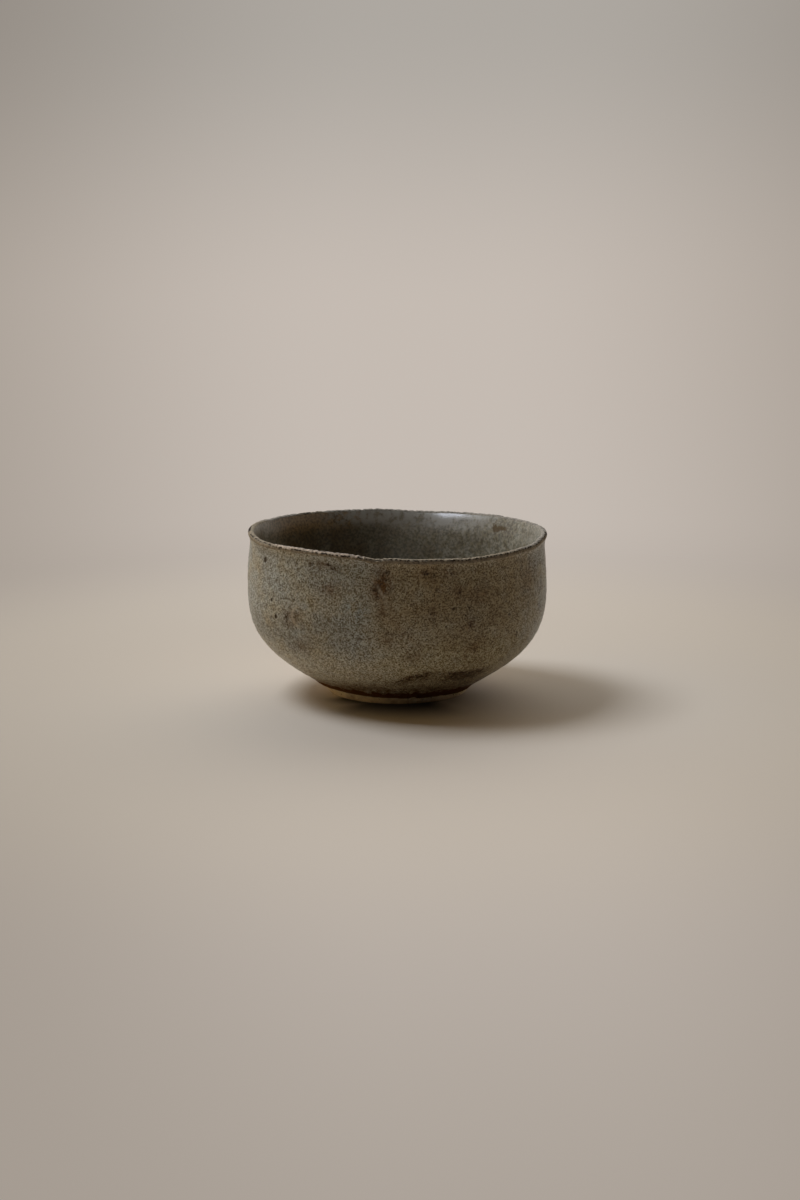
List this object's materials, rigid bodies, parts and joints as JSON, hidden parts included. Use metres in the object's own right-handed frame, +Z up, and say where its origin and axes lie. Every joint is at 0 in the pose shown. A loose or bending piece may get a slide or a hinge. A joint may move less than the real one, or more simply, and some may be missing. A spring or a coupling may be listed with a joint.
{
  "type": "tea cup",
  "caption": "Small hand-thrown stoneware tea cup: round bowl with a flared wavy lip, speckled ash glaze and a bare turned foot ring.",
  "frame": {"origin": "middle of the cup's outline seen from above, on the surface that the foot stands on", "axes": "+Z up through the mouth, -Y towards the side that the picture shows, +X to the right of that view"},
  "size_m": [0.0906, 0.0906, 0.0496],
  "materials": {
    "stoneware": "unglazed, matt and sandy",
    "bare_foot": "unglazed, matt and sandy",
    "ash_glaze": "satin grey-green ash glaze with fine iron speckle",
    "iron_wash": "thin iron-brown edge, worn pale on the crest",
    "well_glaze": "smooth glossy grey-green glaze"
  },
  "bodies": {
    "root": {"clay_wall": "stoneware", "foot_ring": "bare_foot", "outer_glaze": "ash_glaze", "lip_wash": "iron_wash", "inner_glaze": "well_glaze"}
  },
  "joints": []
}
